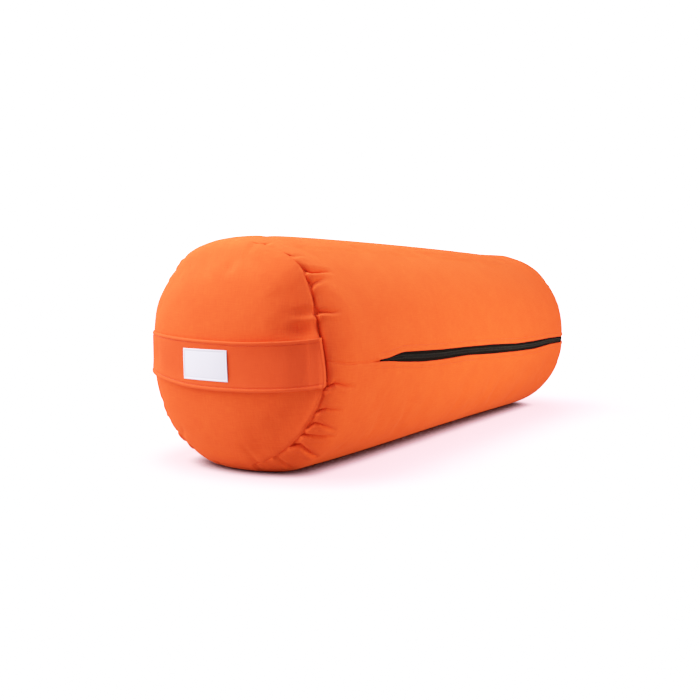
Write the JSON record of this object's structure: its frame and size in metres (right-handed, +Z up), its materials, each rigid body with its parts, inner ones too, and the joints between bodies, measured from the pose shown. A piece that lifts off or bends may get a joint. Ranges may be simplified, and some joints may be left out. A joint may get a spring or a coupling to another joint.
{
  "type": "bolster cushion",
  "caption": "Round bolster cushion: a firm filled roll in orange cotton with domed ends, a carry strap across one end and a closed zip along its side.",
  "frame": {"origin": "on the floor, under the middle of the whole cushion's box", "axes": "+X along the roll, away from the end with the carry strap; +Y to the back, away from the zip; +Z up"},
  "size_m": [0.6602, 0.2466, 0.2267],
  "materials": {
    "orange_cotton": "matte plain-weave cotton",
    "white_label": "smooth woven satin label, left bare",
    "black_zip": "woven polyester zip tape with a moulded coil, slight sheen"
  },
  "bodies": {
    "root": {"filled_side_panel": "orange_cotton", "end_panel_near": "orange_cotton", "end_panel_far": "orange_cotton", "carry_strap": "orange_cotton", "label": "white_label", "zip_tape_upper": "black_zip", "zip_tape_lower": "black_zip", "zip_coil": "black_zip"}
  },
  "joints": []
}
